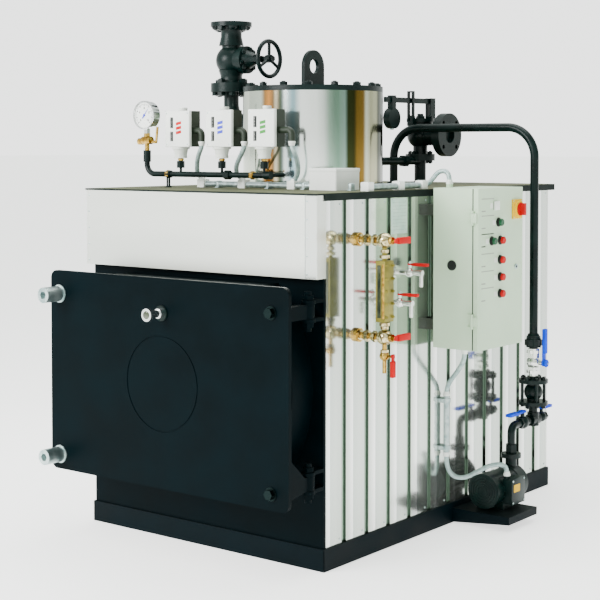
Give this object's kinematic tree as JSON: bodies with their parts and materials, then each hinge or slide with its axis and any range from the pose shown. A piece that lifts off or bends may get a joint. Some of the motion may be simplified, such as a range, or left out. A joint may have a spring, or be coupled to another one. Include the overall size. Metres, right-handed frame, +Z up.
{
  "type": "packaged fire-tube steam boiler",
  "caption": "Packaged fire-tube steam boiler: steel-clad rectangular body on a base frame with a hinged furnace door, steam dome, stop valve, gauges, control cabinet and feed pump.",
  "frame": {"origin": "middle of the underside of the base frame, on the floor", "axes": "+Z up, +Y from the furnace door towards the rear smokebox, +X towards the side with the control cabinet and feed pump"},
  "size_m": [1.3483, 2.105, 1.903],
  "materials": {
    "black_paint": "satin",
    "cast_black": "satin paint",
    "mirror_sheet": "polished stainless sheet",
    "stainless_sheet": "bright rolled",
    "deck_paint": "rough matt",
    "base_paint": "satin",
    "refractory": "matt",
    "zinc": "zinc plated",
    "brass": "machined",
    "chrome_ring": "polished",
    "white_plastic": "moulded",
    "black_plastic": "moulded",
    "cabinet_paint": "textured powder coat",
    "red_handle": "dipped vinyl",
    "blue_handle": "dipped vinyl",
    "motor_paint": "satin",
    "galvanised": "galvanised",
    "gauge_brass": "olive chromate"
  },
  "bodies": {
    "boiler": {"base_frame": "base_paint", "insulated_body": "black_paint", "front_plate": "black_paint", "header_box": "stainless_sheet", "deck_plate": "deck_paint", "cladding_right": "mirror_sheet", "cladding_left": "mirror_sheet", "rear_panel": "stainless_sheet", "smokebox": "black_paint", "front_ring": "black_paint", "front_hinges": "black_paint", "steam_dome": "mirror_sheet", "dome_cover": "cast_black", "steam_outlet": "cast_black", "stop_valve_body": "cast_black", "stop_valve_bonnet": "cast_black", "gauge_manifold": "cast_black", "gauge_cock": "brass", "pressure_gauge": "chrome_ring", "pressure_switch_left": "white_plastic", "pressure_switch_middle": "white_plastic", "pressure_switch_right": "white_plastic", "junction_boxes": "white_plastic", "conduits": "galvanised", "safety_valve_body": "cast_black", "feed_pipe": "cast_black", "feed_ball_valve": "chrome_ring", "check_valve": "cast_black", "feed_tee": "cast_black", "pump_head": "motor_paint", "pump_motor": "motor_paint", "pump_tray": "base_paint", "control_cabinet": "cabinet_paint", "level_gauge": "gauge_brass", "level_cocks": "brass", "try_cocks": "zinc", "switch_hose_left": "galvanised", "switch_hose_middle": "galvanised", "switch_hose_right": "galvanised", "cabinet_top_hose": "galvanised", "cabinet_bottom_hose": "galvanised", "pump_hose": "galvanised"},
    "furnace_door": {"front_door": "black_paint", "door_liner": "refractory", "door_hinge_arms": "black_paint", "door_bolts": "zinc", "door_sight_glass": "chrome_ring"},
    "cabinet_leaf": {"cabinet_door": "cabinet_paint", "cabinet_controls": "black_plastic"},
    "isolator_switch": {"isolator_knob": "red_handle"},
    "valve_wheel": {"stop_valve_handwheel": "cast_black"},
    "safety_arm": {"safety_lever": "cast_black"},
    "feed_handle": {"feed_valve_lever": "blue_handle"},
    "branch_handle": {"branch_lever": "blue_handle"},
    "drain_handle": {"drain_lever": "blue_handle"},
    "level_top_handle": {"level_lever_top": "red_handle"},
    "level_bottom_handle": {"level_lever_bottom": "red_handle"},
    "level_drain_handle": {"level_drain_lever": "red_handle"},
    "try_upper_handle": {"try_lever_upper": "red_handle"},
    "try_lower_handle": {"try_lever_lower": "red_handle"}
  },
  "joints": [
    {"name": "furnace_door_swing", "type": "hinge", "parent": "boiler", "child": "furnace_door", "pos_m": [0.525, -0.842, 0.596], "axis": [0, 0, 1], "range_deg": [0, 110]},
    {"name": "cabinet_door_swing", "type": "hinge", "parent": "boiler", "child": "cabinet_leaf", "pos_m": [0.739, -0.174, 0.969], "axis": [0, 0, -1], "range_deg": [0, 110]},
    {"name": "isolator_turn", "type": "hinge", "parent": "cabinet_leaf", "child": "isolator_switch", "pos_m": [0.765, 0.103, 1.176], "axis": [1, 0, 0], "range_deg": [0, 90]},
    {"name": "stop_valve_turn", "type": "hinge", "parent": "boiler", "child": "valve_wheel", "pos_m": [-0.217, -0.128, 1.75], "axis": [1, 0, 0], "range_deg": [0, 900]},
    {"name": "safety_lever_lift", "type": "hinge", "parent": "boiler", "child": "safety_arm", "pos_m": [0.047, 0.638, 1.596], "axis": [-1, 0, 0], "range_deg": [0, 6]},
    {"name": "feed_valve_turn", "type": "hinge", "parent": "boiler", "child": "feed_handle", "pos_m": [0.692, 0.442, 0.562], "axis": [-1, 0, 0], "range_deg": [0, 90]},
    {"name": "branch_valve_turn", "type": "hinge", "parent": "boiler", "child": "branch_handle", "pos_m": [0.65, 0.357, 0.376], "axis": [0, 0, 1], "range_deg": [0, 90]},
    {"name": "drain_valve_turn", "type": "hinge", "parent": "boiler", "child": "drain_handle", "pos_m": [0.65, 0.508, 0.37], "axis": [0, 0, -1], "range_deg": [0, 90]},
    {"name": "level_top_turn", "type": "hinge", "parent": "boiler", "child": "level_top_handle", "pos_m": [0.691, -0.582, 1.091], "axis": [1, 0, 0], "range_deg": [0, 90]},
    {"name": "level_bottom_turn", "type": "hinge", "parent": "boiler", "child": "level_bottom_handle", "pos_m": [0.691, -0.582, 0.767], "axis": [1, 0, 0], "range_deg": [0, 90]},
    {"name": "level_drain_turn", "type": "hinge", "parent": "boiler", "child": "level_drain_handle", "pos_m": [0.679, -0.582, 0.705], "axis": [-1, 0, 0], "range_deg": [0, 90]},
    {"name": "try_upper_turn", "type": "hinge", "parent": "boiler", "child": "try_upper_handle", "pos_m": [0.593, -0.348, 0.991], "axis": [0, 0, 1], "range_deg": [0, 90]},
    {"name": "try_lower_turn", "type": "hinge", "parent": "boiler", "child": "try_lower_handle", "pos_m": [0.593, -0.41, 0.891], "axis": [0, 0, 1], "range_deg": [0, 90]}
  ]
}
